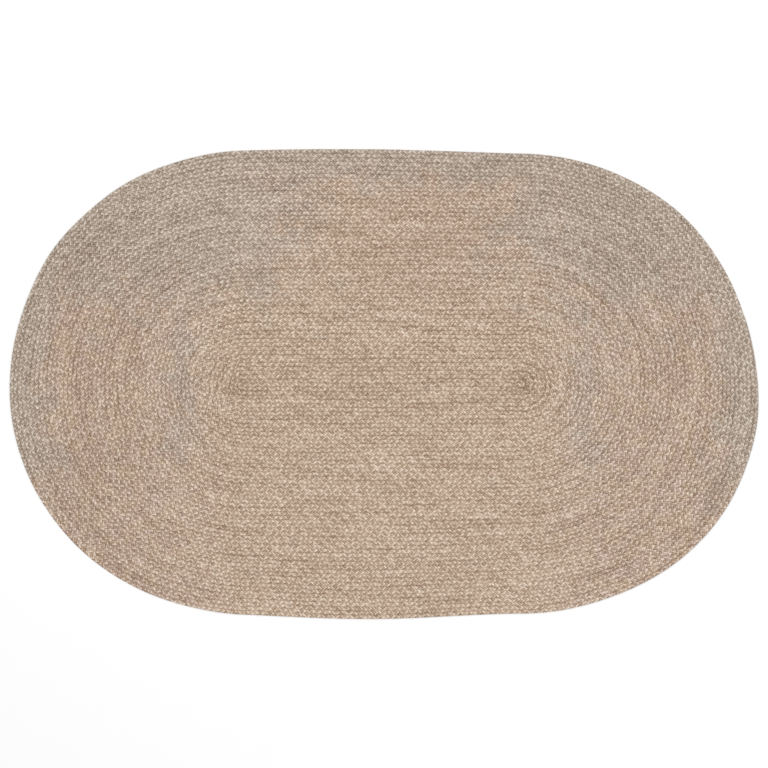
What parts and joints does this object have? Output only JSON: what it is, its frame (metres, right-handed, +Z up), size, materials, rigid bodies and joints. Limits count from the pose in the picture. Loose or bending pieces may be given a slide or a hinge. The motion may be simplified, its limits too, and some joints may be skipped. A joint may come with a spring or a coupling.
{
  "type": "braided jute rug",
  "caption": "Flat oval rug of braided jute, coiled in a spiral and sewn row to row, with low ribs on top and a softly uneven edge.",
  "frame": {"origin": "middle of the rug's underside, where it lies on the floor", "axes": "+X along the rug's length, +Y across its width, +Z up from the floor"},
  "size_m": [2.4304, 1.5275, 0.009],
  "materials": {
    "jute_braid": "matt natural jute, in a three-strand braid of mixed tan, straw and grey-brown yarns"
  },
  "bodies": {
    "root": {"braided_rug": "jute_braid"}
  },
  "joints": []
}
